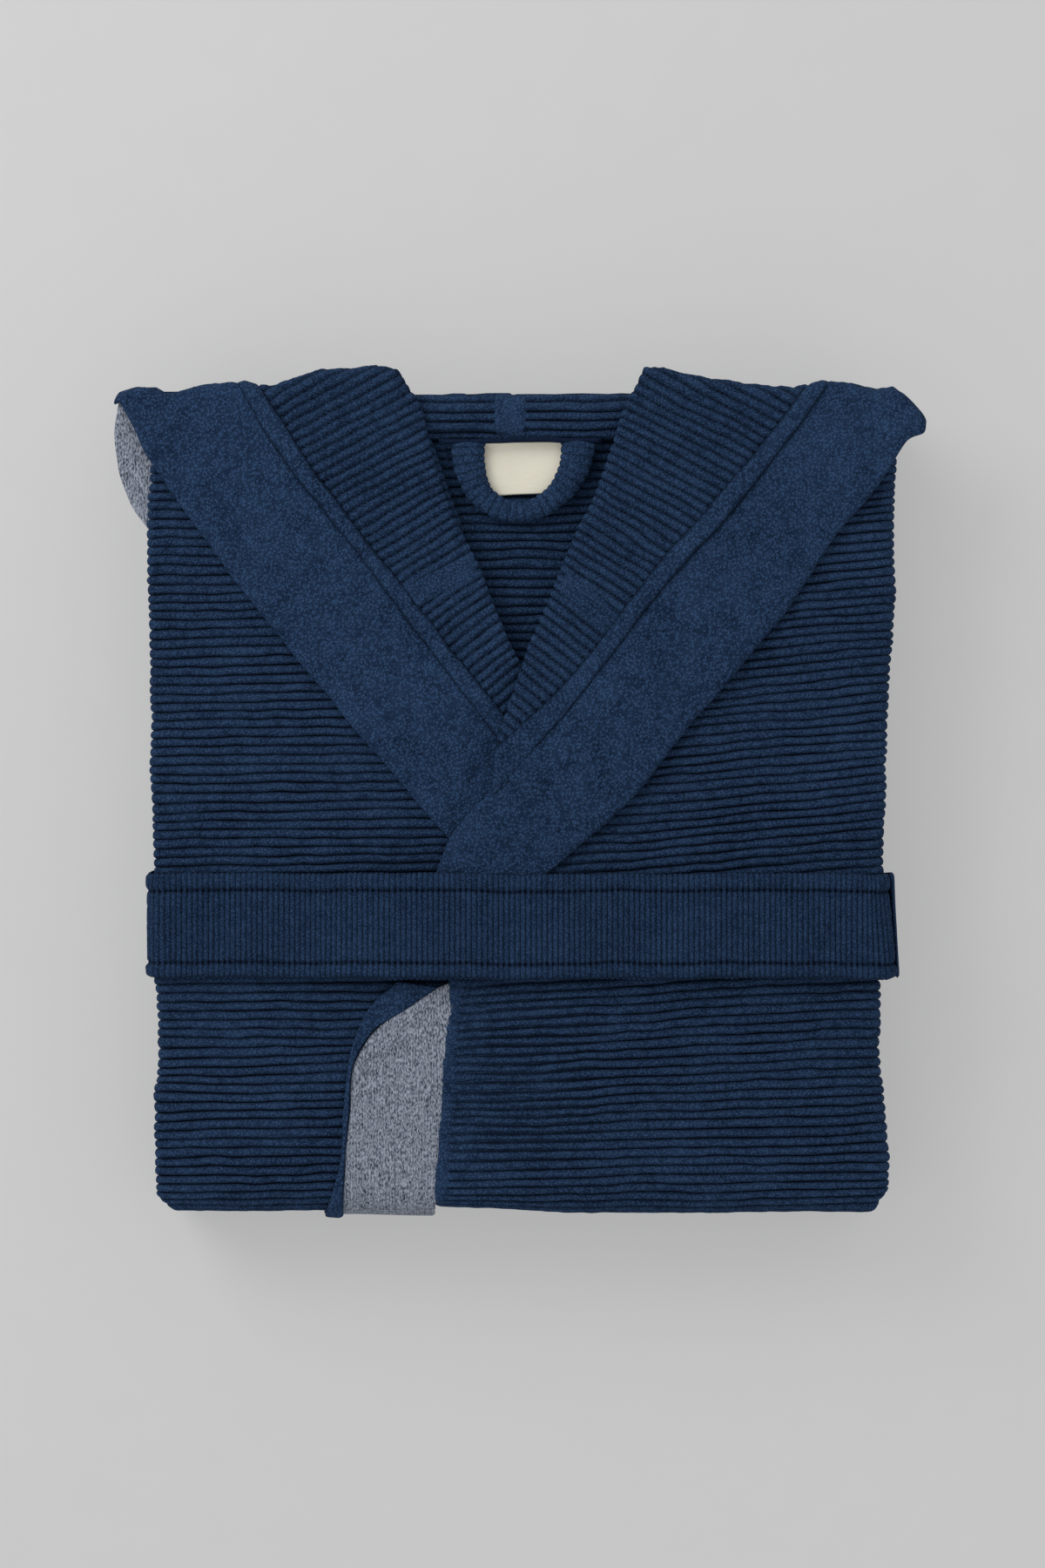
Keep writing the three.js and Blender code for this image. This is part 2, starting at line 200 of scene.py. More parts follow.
def ring_mesh(name, rings, painted_groove_shade, closed=False):
    """A closed mesh from rings of points (mm) in a row; the per-point value given is painted shade, darkening
    the grooves.
    """
    rows, columns = rings.shape[:2]
    i = np.arange(rows if closed else rows - 1)[:, None]
    k = np.arange(columns)[None, :]
    ahead, aside = (i + 1) % rows, (k + 1) % columns
    quads = np.stack([i * columns + k, i * columns + aside, ahead * columns + aside, ahead * columns + k], -1)
    quads = quads.reshape(-1, 4)
    corners, starts = quads.ravel(), np.arange(0, quads.size, 4)
    if not closed:
        caps = np.concatenate([np.arange(columns)[::-1], np.arange(columns) + (rows - 1) * columns])
        starts = np.concatenate([starts, [quads.size, quads.size + columns]])
        corners = np.concatenate([corners, caps])
    points = rings.reshape(-1, 3) * MM
    mesh = bpy.data.meshes.new(name)
    mesh.vertices.add(len(points))
    mesh.vertices.foreach_set("co", points.astype(np.float32).ravel())
    mesh.loops.add(len(corners))
    mesh.loops.foreach_set("vertex_index", corners.astype(np.int32))
    mesh.polygons.add(len(starts))
    mesh.polygons.foreach_set("loop_start", starts.astype(np.int32))
    mesh.polygons.foreach_set("use_smooth", np.ones(len(starts), bool))
    mesh.update(calc_edges=True)
    # point attribute of painted shade, which the terry materials mix towards their groove shade colour
    attribute = mesh.attributes.new("painted_groove_shade", "FLOAT", "POINT")
    attribute.data.foreach_set("value", np.broadcast_to(painted_groove_shade, (rows, columns)).ravel().astype(np.float32))
    a, b, c, d = (points[quads[:, n]] - points.mean(0) for n in range(4))
    volume = np.einsum("ij,ij->", a, np.cross(b, c)) + np.einsum("ij,ij->", a, np.cross(c, d))
    if volume < 0:
        mesh.flip_normals()
    piece = bpy.data.objects.new(name, mesh)
    bpy.context.scene.collection.objects.link(piece)
    return piece


def finish_piece(piece, material, body="pack", stands_for=(), trims=()):
    """Material and body of a piece, and hides the CAD parts it stands for; trims is not used."""
    piece.data.materials.append(material)
    if body:
        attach(piece, body)
    if stands_for:
        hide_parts(*stands_for)
    return piece


# ---- Materials -----------------------------------------------------------------------------------

class Nodes:
    """Short way to write a node tree: each call makes a node and links its inputs."""

    def __init__(self, name):
        self.material = bpy.data.materials.new(name)
        self.material.use_nodes = True
        self.tree = self.material.node_tree
        self.shader = self.tree.nodes["Principled BSDF"]
        self.position = self.add("ShaderNodeTexCoord").outputs["Object"]

    def add(self, kind, settings=None, **inputs):
        node = self.tree.nodes.new(kind)
        for key, value in (settings or {}).items():
            setattr(node, key, value)
        for key, value in inputs.items():
            self.give(node.inputs[key.replace("_", " ")], value)
        return node

    def give(self, socket, value):
        if isinstance(value, bpy.types.NodeSocket):
            self.tree.links.new(value, socket)
        else:
            socket.default_value = value

    def math(self, operation, a, b=0.0):
        node = self.add("ShaderNodeMath", {"operation": operation})
        self.give(node.inputs[0], a)
        self.give(node.inputs[1], b)
        return node.outputs[0]

    def noise(self, scale, detail=2.0, stretch=(1, 1, 1)):
        moved = self.add("ShaderNodeMapping", Vector=self.position, Scale=stretch)
        return self.add("ShaderNodeTexNoise", Vector=moved.outputs[0], Scale=scale, Detail=detail).outputs[0]

    def cells(self, scale, stretch=(1, 1, 1)):
        moved = self.add("ShaderNodeMapping", Vector=self.position, Scale=stretch)
        return self.add("ShaderNodeTexVoronoi", Vector=moved.outputs[0], Scale=scale).outputs["Distance"]

    def mix(self, share, first, second):
        node = self.add("ShaderNodeMix", {"data_type": "RGBA"})
        self.give(node.inputs[0], share)
        self.give(node.inputs[6], first)
        self.give(node.inputs[7], second)
        return node.outputs[2]

    def ramp(self, value, low, high):
        node = self.add("ShaderNodeMapRange", Value=value)
        node.inputs["From Min"].default_value = low
        node.inputs["From Max"].default_value = high
        return node.outputs[0]


def rgb(red, green, blue):
    """An sRGB colour from 0 to 255 as linear RGBA."""
    share = np.array([red, green, blue]) / 255
    linear = np.where(share <= 0.04045, share / 12.92, ((share + 0.055) / 1.055) ** 2.4)
    return (*linear.tolist(), 1.0)


def terry(name, groove_shade_colour, low, light, loop_size, bump, sheen):
    """Terry cloth: small loops of pile with painted shade in the gaps between them, and the deepest painted
    shade down in the grooves.
    """
    nodes = Nodes(name)
    loops = nodes.ramp(nodes.cells(1 / (loop_size * MM)), 0.6, 0.15)
    fuzz = nodes.ramp(nodes.noise(1 / (0.5 * loop_size * MM), 3), 0.3, 0.7)
    clumps = nodes.ramp(nodes.noise(1 / (5 * loop_size * MM), 2), 0.35, 0.65)
    patches = nodes.ramp(nodes.noise(22, 3), 0.35, 0.65)
    pile = nodes.math("ADD", nodes.math("MULTIPLY", loops, 0.6), nodes.math("MULTIPLY", fuzz, 0.4))
    # painted light and shade of the pile: shade between the loops (low) up to lit loop tops (light), plus
    # real tone varying in clumps and patches
    shade = nodes.math("ADD", nodes.math("MULTIPLY", loops, 0.5), nodes.math("MULTIPLY", fuzz, 0.3))
    shade = nodes.math("ADD", shade, nodes.math("MULTIPLY", clumps, 0.12))
    shade = nodes.math("ADD", shade, nodes.math("MULTIPLY", patches, 0.08))
    crown = nodes.mix(shade, low, light)
    # the mesh's per-point painted shade, which pulls the colour towards the groove shade colour down in the
    # grooves
    painted_groove_shade = nodes.add("ShaderNodeAttribute", {"attribute_name": "painted_groove_shade"}).outputs["Fac"]
    groove_shade_mix = nodes.math("POWER", nodes.math("MAXIMUM", painted_groove_shade, 0.0), 1.3)
    nodes.give(nodes.shader.inputs["Base Color"], nodes.mix(groove_shade_mix, crown, groove_shade_colour))
    relief = nodes.add("ShaderNodeBump", Strength=bump, Distance=0.7 * loop_size * MM, Height=pile)
    nodes.give(nodes.shader.inputs["Normal"], relief.outputs[0])
    nodes.shader.inputs["Roughness"].default_value = 0.95
    nodes.shader.inputs["Specular IOR Level"].default_value = 0.08
    nodes.shader.inputs["Sheen Weight"].default_value = sheen
    nodes.shader.inputs["Sheen Roughness"].default_value = 0.5
    nodes.shader.inputs["Sheen Tint"].default_value = light
    return nodes.material


def melange():
    """Grey melange knit: short light and dark flecks in upright rows."""
    nodes = Nodes("melange_knit")
    flecks = nodes.noise(1250, 2, (1.3, 0.5, 1))
    coarse = nodes.noise(420, 2, (1.0, 0.6, 1))
    rows = nodes.add("ShaderNodeTexWave", {"wave_type": "BANDS", "bands_direction": "X"},
                     Vector=nodes.position, Scale=210.0, Distortion=2.5, Detail=2.0).outputs[1]
    value = nodes.math("ADD", nodes.math("MULTIPLY", nodes.ramp(flecks, 0.38, 0.62), 0.65),
                       nodes.math("MULTIPLY", nodes.ramp(coarse, 0.38, 0.62), 0.2))
    value = nodes.math("ADD", value, nodes.math("MULTIPLY", rows, 0.15))
    nodes.give(nodes.shader.inputs["Base Color"], nodes.mix(value, rgb(10, 22, 46), rgb(160, 168, 182)))
    relief = nodes.add("ShaderNodeBump", Strength=0.5, Distance=0.0004, Height=value)
    nodes.give(nodes.shader.inputs["Normal"], relief.outputs[0])
    nodes.shader.inputs["Roughness"].default_value = 0.9
    nodes.shader.inputs["Specular IOR Level"].default_value = 0.2
    return nodes.material


def satin_label():
    """Cream woven satin: fine crosswise threads."""
    nodes = Nodes("label_satin")
    threads = nodes.noise(900, 2, (0.25, 2.2, 1))
    stain = nodes.noise(60, 2)
    value = nodes.math("ADD", nodes.math("MULTIPLY", threads, 0.6), nodes.math("MULTIPLY", stain, 0.4))
    nodes.give(nodes.shader.inputs["Base Color"], nodes.mix(value, rgb(214, 207, 186), rgb(234, 231, 217)))
    relief = nodes.add("ShaderNodeBump", Strength=0.35, Distance=0.0002, Height=threads)
    nodes.give(nodes.shader.inputs["Normal"], relief.outputs[0])
    nodes.shader.inputs["Roughness"].default_value = 0.55
    nodes.shader.inputs["Sheen Weight"].default_value = 0.2
    return nodes.material


def plain_floor():
    nodes = Nodes("floor_paper")
    grain = nodes.noise(40, 2)
    nodes.give(nodes.shader.inputs["Base Color"], nodes.mix(grain, rgb(144, 144, 144), rgb(147, 147, 147)))
    nodes.shader.inputs["Emission Color"].default_value = (1, 1, 1, 1)
    nodes.shader.inputs["Emission Strength"].default_value = 0.32
    nodes.shader.inputs["Roughness"].default_value = 0.9
    nodes.shader.inputs["Specular IOR Level"].default_value = 0.1
    return nodes.material


# first colour of each terry: painted shade down in the grooves; second and third: painted shade between the
# loops and the lit loop tops
RIBBED = terry("ribbed_terry", rgb(2, 7, 19), rgb(3, 16, 37), rgb(61, 90, 130), 1.2, 1.0, 0.06)
PLAIN = terry("plain_terry", rgb(3, 10, 25), rgb(2, 13, 34), rgb(60, 89, 129), 1.5, 1.0, 0.06)
BELT_CLOTH = terry("belt_terry", rgb(4, 11, 26), rgb(5, 20, 42), rgb(56, 84, 122), 1.1, 1.0, 0.06)
TAPE = terry("tape_weave", rgb(2, 5, 12), rgb(6, 14, 30), rgb(24, 42, 70), 0.8, 0.5, 0.05)
MELANGE = melange()
LABEL = satin_label()


# ---- Folded panels -------------------------------------------------------------------------------

def knots(pairs):
    """A function that runs straight between (place, value) pairs."""
    places, values = np.array(pairs, float).T
    order = np.argsort(places)
    return lambda s: np.interp(s, places[order], values[order])


def level(value):
    """The same value at every place."""
    return knots([(0, value), (FAR_ON, value)])


def swept_cloth(name, path, left, right, thick_left, thick_right, step_x, seed, pitch=BODY_RIB, tilt=None,
                lift=None, columns=34, nose=7.0, ribbed=True, shown=None, plain_edge=0.0):
    """Flattened tube of cloth along a path: outer face, round side edges and inner face, ribs across it.

    left, right, thick_left and thick_right are functions of the length along the path, and step_x is
    where the thickness changes between them. Past the length shown, the rows are coarse.
    """
    inside = 10                                 # columns of the inner face
    rows = rib_rows(path.length, pitch) if ribbed else np.arange(0, path.length, 2.5)
    if shown:
        rows = np.append(rows[rows <= shown], np.linspace(shown + pitch, path.length, 60))
    s = rows[:, None]
    end = np.minimum(rim(rows, nose), rim(path.length - rows, nose))[:, None]
    end = np.maximum(end, 0.02)
    jitter = [noise(seed + side, rows, rows * 0, 38)[:, None] for side in (0, 1)]
    wobble = [noise(seed + 4 + side, rows, rows * 0, 9)[:, None] for side in (0, 1)]
    x_left = left(s) + (1 - end) * 4 + 1.0 * jitter[0] + 0.5 * wobble[0]
    x_right = right(s) - (1 - end) * 4 + 1.0 * jitter[1] + 0.5 * wobble[1]
    turn = np.linspace(math.pi / 2, -math.pi / 2, 9)[None, 1:-1]
    across = np.linspace(0, 1, columns)[None, :]
    under = np.linspace(1, 0, inside)[None, :]
    radius_left, radius_right = 0.5 * thick_left(s) * end, 0.5 * thick_right(s) * end
    first, span = x_left + radius_left, x_right - radius_right - x_left - radius_left
    flat, below = first + across * span, first + under * span
    share = smooth((below - step_x) / 12)
    depth_below = 2 * (radius_left + (radius_right - radius_left) * share)
    right_x = x_right - radius_right + radius_right * np.cos(turn)
    right_depth = radius_right * (1 - np.sin(turn))
    left_x = x_left + radius_left - radius_left * np.cos(turn)
    left_depth = radius_left * (1 - np.sin(turn))
    nothing, one = np.zeros_like(flat), np.ones_like(flat)
    corner, hidden = np.zeros_like(right_x), np.ones_like(below)
    x = np.concatenate([flat, right_x, below, left_x[:, ::-1]], 1)
    depth = np.concatenate([nothing, right_depth, depth_below, left_depth[:, ::-1]], 1)
    out_x = np.concatenate([nothing, corner + np.cos(turn), 0 * below, corner - np.cos(turn)], 1)
    out_n = np.concatenate([one, corner + np.sin(turn), -hidden, corner + np.sin(turn[:, ::-1])], 1)
    depth = depth + (1 - end) * 0.5 * np.maximum(thick_left(s), thick_right(s))
    middle = 0.5 * (x_left + x_right)
    slant = (tilt(s) * (x - middle)) if tilt else 0
    waver = pitch * (0.2 * noise(seed + 2, rows[:, None] + 0 * x, x, 14, 30)
                     + 0.1 * noise(seed + 6, rows[:, None] + 0 * x, x, 6, 11)) * end
    where = s - slant * end + waver
    place, normal = path.at(np.clip(where, 0, path.length))
    height = np.ones((len(rows), 1))
    if ribbed:
        height = rib(rows / path.length * round(path.length / pitch))[:, None]
    strength = RIB_DEPTH * pitch / BODY_RIB
    uneven = 0.2 * noise(seed + 3, s + 0 * x, x, 11, 24)
    strength = strength * (1 + uneven + 0.15 * noise(seed + 9, s + 0 * x, x, 5, 8))
    strength = strength * (1 - 0.4 * np.abs(out_x))
    if plain_edge:
        plain = 1 - smooth((x - x_left - plain_edge) / 3) * np.ones_like(x)
        strength = strength * (1 - 0.8 * plain)
    puff = 0.55 * noise(seed + 7, s + 0 * x, x, 60, 70) + 0.25 * noise(seed + 8, s + 0 * x, x, 18, 26)
    out = strength * (height - 1) * end + puff * end
    pile = 0.22 * noise(seed + 12, s + 0 * x, x, 1.7, 4.5) + 0.15 * noise(seed + 13, s + 0 * x, x, 3.1, 7)
    out = out + pile * end
    offset = out_n * out - depth
    if lift:
        offset = offset + lift(x, s) * np.clip(1 - (depth - 3) / 5, 0, 1)
    rings = np.stack([x + out_x * out, place[..., 0] + normal[..., 0] * offset,
                      place[..., 1] + normal[..., 1] * offset], -1)
    # painted shade in the rib grooves, deeper where the ribs are deeper
    painted_groove_shade = (1 - height) * np.minimum(strength / RIB_DEPTH, 1.2)
    spread = (right(s) - left(s))[:, 0]
    return ring_mesh(name, rings, painted_groove_shade)


def front_path(top):
    """Outer face of a front: top, lower fold, underside, neck-end fold, inside. Starts at the neck end."""
    return Path([
        (SHOULDER, top), (LOWER_FOLD, top, 17), (LOWER_FOLD, RECESS, 13), (BELT_FAR, RECESS, 4),
        (BELT_FAR + 10, FRONT_LOW + 1, 4), (SHOULDER - 1, FRONT_LOW + 1, 12), (SHOULDER - 1, HEM_HIGH, 12),
        (HEM_FAR, HEM_HIGH),
    ])


def back_path():
    near = LOWER_FOLD + 8.6
    far = SHOULDER - 9
    return Path([
        (SHOULDER - 11, BACK_TOP), (near, BACK_TOP, 9), (near, BACK_LOW, 7), (far, BACK_LOW, 5),
        (far, FOLD_MIDDLE, 5), (HEM_FAR, FOLD_MIDDLE),
    ])


TOP_LENGTH = SHOULDER - LOWER_FOLD                      # along the top, neck end to lower fold
FOLD_END = TOP_LENGTH + LEFT_TOP - 20                   # about where the underside starts


def on_top(*pairs):
    """Values given at heights y on the top, as a function of the length along the path."""
    return knots([(SHOULDER - y, value) for y, value in pairs] + [(FOLD_END + 900, pairs[-1][1])])


def under_belt(s):
    """1 along the middle of the belt and 0 well away from it: the cloth is pressed down there."""
    return np.exp(-((SHOULDER - s - 0.5 * (BELT_NEAR + BELT_FAR)) / 36) ** 2)


def front_left():
    left = on_top((200, -185), (134, -188), (33, -186), (-40, -184.5), (-94, -185), (-102, -183),
                  (-144, -183), (-152, -185.5), (-175, -184), (-198, -183.5), (-206, -182.5), (-214, -178),
                  (-240, -177), (-258, -181))
    right = on_top((200, -54), (115, -23), (61, -1), (20, 20), (-20, 48), (-104, 48), (-138, -36),
                   (-192, -44.5), (-260, -44.5))
    on_back, over_belt = LEFT_TOP - BACK_TOP - GAP, POCKET_LOW - RECESS
    thick = knots([(0, on_back), (TOP_LENGTH - 15, on_back), (TOP_LENGTH + 10, 8), (FOLD_END + 20, over_belt),
                   (FOLD_END + 140, over_belt), (FOLD_END + 180, 8), (FOLD_END + 380, 7), (FAR_ON, 7)])
    tilt = knots([(0, 0), (60, 0.012), (TOP_LENGTH - 40, 0.012), (TOP_LENGTH, 0), (FAR_ON, 0)])

    def lift(x, s):
        droop = smooth((-x - 150) / 40) * (s < TOP_LENGTH)
        return -1.6 * under_belt(s) - 1.5 * droop
    piece = swept_cloth("front_left_panel", front_path(LEFT_TOP + CLOTH_RISE), left, right, thick, thick, 0,
                        11, tilt=tilt, lift=lift, columns=112, shown=FOLD_END + 425)
    finish_piece(piece, RIBBED, stands_for=["front_left"])


def front_right():
    left = on_top((200, 56), (112, 23), (61, 4), (20, -11), (-41, -37), (-94, -36), (-204, -44), (-260, -43))
    right = on_top((200, 188), (151, 188.5), (90, 187), (25, 184.2), (-36, 182.4), (-94, 181), (-144, 181),
                   (-152, 182.5), (-175, 184.5), (-198, 185.5), (-206, 184.5), (-214, 180), (-240, 178.5),
                   (-258, 182))
    side_thick = RIGHT_TOP - BACK_TOP - GAP
    folded_under = [(FOLD_END + 20, 3.5), (FOLD_END + 140, 3.5), (FOLD_END + 180, 8), (FOLD_END + 380, 7),
                    (FAR_ON, 7)]
    thick_left = knots([(0, THIN_PLY), (TOP_LENGTH - 30, THIN_PLY), (TOP_LENGTH + 5, 8)] + folded_under)
    thick_right = knots([(0, side_thick), (TOP_LENGTH - 15, side_thick), (TOP_LENGTH + 10, 8)] + folded_under)
    tilt = knots([(0, 0), (75, 0.1), (220, 0.085), (300, 0.06), (TOP_LENGTH - 20, 0.02), (TOP_LENGTH + 30, 0),
                  (FAR_ON, 0)])

    def lift(x, s):
        below_belt = smooth((s - (SHOULDER - BELT_NEAR) + 10) / 20) * (s < FOLD_END)
        margin = smooth((25 - x) / 62) * below_belt
        droop = smooth((x - 145) / 40) * (s < TOP_LENGTH)
        return -1.2 * under_belt(s) - 3.0 * margin - 2.0 * droop
    piece = swept_cloth("front_right_panel", front_path(RIGHT_TOP + CLOTH_RISE), left, right, thick_left,
                        thick_right, 52, 23, tilt=tilt, lift=lift, columns=112, shown=FOLD_END + 425,
                        plain_edge=5.0)
    finish_piece(piece, RIBBED, stands_for=["front_right"])


def back_panel():
    path = back_path()
    thick = knots([(0, 4), (TOP_LENGTH - 20, 4), (TOP_LENGTH + 20, 5), (FAR_ON, 5)])
    left, right = level(-BACK_HALF), level(BACK_HALF)
    piece = swept_cloth("back_panel_cloth", path, left, right, thick, thick, 0, 37, columns=60, nose=4)
    finish_piece(piece, RIBBED, stands_for=["back_panel"], trims=[neck_tape()])


def inner_rolls():
    """Sleeves, cuffs and the hem, as their edges show at the pack's sides."""
    for side, sign in (("left", -1), ("right", 1)):
        span = sorted((sign * 2, sign * 180))
        cuff_span = sorted((sign * 14, sign * 176))
        sleeve = Path([(SHOULDER - 3, SLEEVE_HIGH + 3), (CUFF_FAR, SLEEVE_HIGH + 3)])
        cuff = Path([(CUFF_FAR - 1, SLEEVE_HIGH), (CUFF_NEAR, SLEEVE_HIGH)])
        thick = SLEEVE_HIGH - SLEEVE_LOW
        piece = straight_roll(f"sleeve_{side}_cloth", sleeve, span, thick + 3, 51 + sign, BODY_RIB)
        finish_piece(piece, RIBBED, stands_for=[f"sleeve_{side}"])
        piece = straight_roll(f"cuff_{side}_cloth", cuff, cuff_span, thick, 61 + sign, BELT_RIB)
        finish_piece(piece, PLAIN, stands_for=[f"cuff_{side}"])
    hem = Path([(HEM_FAR - 1, HEM_HIGH), (HEM_NEAR, HEM_HIGH)])
    piece = straight_roll("hem_cloth", hem, (-BACK_HALF, BACK_HALF), HEM_HIGH - HEM_LOW, 71, 0)
    finish_piece(piece, PLAIN, stands_for=["hem"])


def straight_roll(name, path, span, thick, seed, pitch):
    """A flat roll of even width and thickness; with no pitch it has no ribs."""
    left, right, depth = level(span[0]), level(span[1]), level(thick)
    return swept_cloth(name, path, left, right, depth, depth, 0, seed, pitch=pitch or 4, columns=10,
                       ribbed=bool(pitch))


# ---- Sheets between two given curves -------------------------------------------------------------

def ruled_cloth(name, outer, inner, height, half, seed, ribs=None, columns=26, rims=(3, 3, 3, 3), step=1.8,
                depth=RIB_DEPTH, top=None, roll=COLLAR_ROLL, nap=0.0, ridge_edge_shade=0.0):
    """A thin closed sheet ruled between two curves (top to bottom), with rounded rims.

    height gives the underside's z at (x, y) and half is half the thickness; ribs gives the rib phase.
    With top, the sheet's first rows roll down over the neck end along that outline.
    """
    length = np.linalg.norm(np.diff(np.array(outer, float), axis=0), axis=1).sum()
    extra = math.pi * roll + 9 if top else 0
    rows = np.linspace(-extra, length, round((length + extra) / step) + 1)
    share = np.clip(rows / length, 0, 1)
    a, b = curve(outer, share)[:, None, :], curve(inner, share)[:, None, :]
    w = np.linspace(0, 1, columns)
    w = (0.35 * w + 0.65 * 0.5 * (1 - np.cos(math.pi * w)))[None, :, None]
    across = (b - a) / np.linalg.norm(b - a, axis=-1, keepdims=True)
    width = np.linalg.norm(b - a, axis=-1)
    flat = (1 - w) * a + w * b
    from_outer, from_inner = w[..., 0] * width, (1 - w[..., 0]) * width
    x, y = flat[..., 0], flat[..., 1] + np.maximum(-rows, 0)[:, None]
    if top:
        x = x - np.sign(x) * 26 * smooth((np.abs(x) - 130) / 75) * smooth(-rows / 20)[:, None]
        outline = np.interp(x, *np.array(sorted(top), float).T)
        start = y[np.searchsorted(rows, 0)][None, :]
        y = y + (outline - start) * smooth(1 - rows[:, None] / 45)
    edge = rim(from_outer, rims[0]) * rim(from_inner, rims[1])
    edge = edge * (rim(rows + extra, rims[2]) * rim(length - rows, rims[3]))[:, None]
    edge = np.maximum(edge, 0.03)
    body = half(x, y) if callable(half) else half
    crown = np.ones_like(x)
    if ribs:
        crown = rib(ribs(x, y) + 0.16 * noise(seed + 5, x, y, 26, 12) + 0.07 * noise(seed + 6, x, y, 8))
    strength = depth * (1 + 0.2 * noise(seed + 1, x, y, 9))
    sunk = strength * (crown - 1)
    relief = sunk * np.minimum(edge * 1.6, 1) + 0.35 * noise(seed + 2, x, y, 16) * edge
    relief = relief + nap * (0.6 * noise(seed + 8, x, y, 2.1) + 0.4 * noise(seed + 9, x, y, 1.2)) * edge
    shove = 0.5 * sunk * (np.exp(-from_inner / 3) - np.exp(-from_outer / 3)) + 0.6 * noise(seed + 4, x, y, 12)
    middle = height(x, y) + body + 0.7 * noise(seed + 3, x, y, 45)
    x, y = x + across[..., 0] * shove, y + across[..., 1] * shove
    turn = np.zeros_like(x)
    if top:
        past = np.maximum(y - outline + roll + 2, 0)
        turn = np.minimum(past / roll, math.pi)
        beyond = np.maximum(past - math.pi * roll, 0)
        y = np.where(past > 0, outline - roll - 2 + roll * np.sin(turn) - beyond, y)
        middle = middle - roll * (1 - np.cos(turn))
    up, down = body * edge + relief, body * edge + 0.4 * relief * (edge > 0.5)
    high = np.stack([x, y + np.sin(turn) * up, middle + np.cos(turn) * up], -1)
    low = np.stack([x, y - np.sin(turn) * down, middle - np.cos(turn) * down], -1)
    rings = np.concatenate([high, low[:, ::-1]], 1)
    # painted shade in the rib grooves, plus painted shadow along both long rims of a raised sheet such as the
    # ridge
    shade = (1 - crown) + ridge_edge_shade * (np.exp(-(from_outer / 1.3) ** 2) + np.exp(-(from_inner / 1.3) ** 2))
    painted_groove_shade = np.concatenate([shade, shade[:, ::-1]], 1)
    return ring_mesh(name, rings, np.clip(painted_groove_shade, 0, 1))


def slanted_ribs(pivot, rise_high, rise_low, pitch):
    """Rib phase of a collar, whose ribs rise towards the neck and are steeper lower down (degrees)."""
    def phase(x, y):
        lower = np.clip((190 - y) / 130, 0, 1)
        angle = np.radians(rise_high + (rise_low - rise_high) * lower)
        return ((y - pivot[1]) * np.cos(angle) - (x - pivot[0]) * np.sin(angle)) / pitch
    return phase


# Curves of the collar, top to bottom: outer edge, seams beside the ridge, and the rolled edge of the V
LEFT_EDGE = [(-204, 196), (-186, 165), (-152.5, 118), (-125, 82), (-80, 27), (-35, -26), (-14, -50)]
LEFT_RIDGE_OUT = [(-143, 202.5), (-119, 165), (-86, 123.5), (-55, 82), (-36, 57), (-13, 28), (6, 2)]
LEFT_RIDGE_IN = [(-131, 203.5), (-108, 167), (-78, 126), (-48, 88), (-28, 62), (-7, 37), (10, 16)]
LEFT_ROLL = [(-57, 208), (-51, 199), (-46, 176), (-36, 143), (-22, 115), (-11, 87), (1, 61), (12, 40)]
LEFT_TOP_LINE = [(-215, 190), (-206, 194), (-201, 199), (-192, 201.5), (-183, 201), (-176, 198), (-168, 200),
                 (-160, 202.5), (-152, 203), (-138, 204),
                 (-126, 202), (-112, 206), (-100, 210.5), (-86, 211), (-72, 212.5), (-62, 210.5), (-55, 203)]
RIGHT_EDGE = [(203, 186), (202, 177), (192, 168), (184, 158), (160, 130), (133, 90), (88, 36), (51, -9),
              (15, -41), (-32, -90)]
RIGHT_RIDGE_OUT = [(156, 204), (139, 182), (107, 140), (75, 105), (30, 47), (-14, -4)]
RIGHT_RIDGE_IN = [(143, 203), (126, 180), (97, 145), (64, 107), (23, 54), (-13, 20)]
RIGHT_BAND_IN = RIGHT_RIDGE_OUT[:-1] + [(-14, -2), (-31, -21), (-40, -41), (-62, -90)]
RIGHT_ROLL = [(61, 208), (54, 199), (47, 177), (36, 146), (27, 127), (10, 87), (0, 61), (-12, 25)]
RIGHT_TOP_LINE = [(57, 205), (62, 211), (72, 210), (88, 206.5), (103, 204.5), (120, 202), (135, 201),
                  (150, 204),
                  (165, 203), (178, 200), (186, 201), (192, 197), (198, 191), (204, 185), (215, 180)]


def collar_height(low):
    """Underside of a collar sheet, a little raised at its outer tip."""
    def height(x, y):
        tip = smooth((np.abs(x) - 165) / 40)
        return low + 0.2 + 0.8 * tip
    return height


def collar_half(side):
    def half(x, y):
        full = COLLAR_PROUD + 0.7 * smooth((y - 185) / 25)
        if side == "left":
            crossing = smooth((x - np.interp(y, [-60, -41, 20, 61], [-48, -40, -14, 1]) + 12) / 12) * (y < 62)
            return full * (1 - crossing) + 1.3 * crossing
        near_belt = smooth((-18 - y) / 20)
        return full * (1 - near_belt) + 1.2 * near_belt
    return half


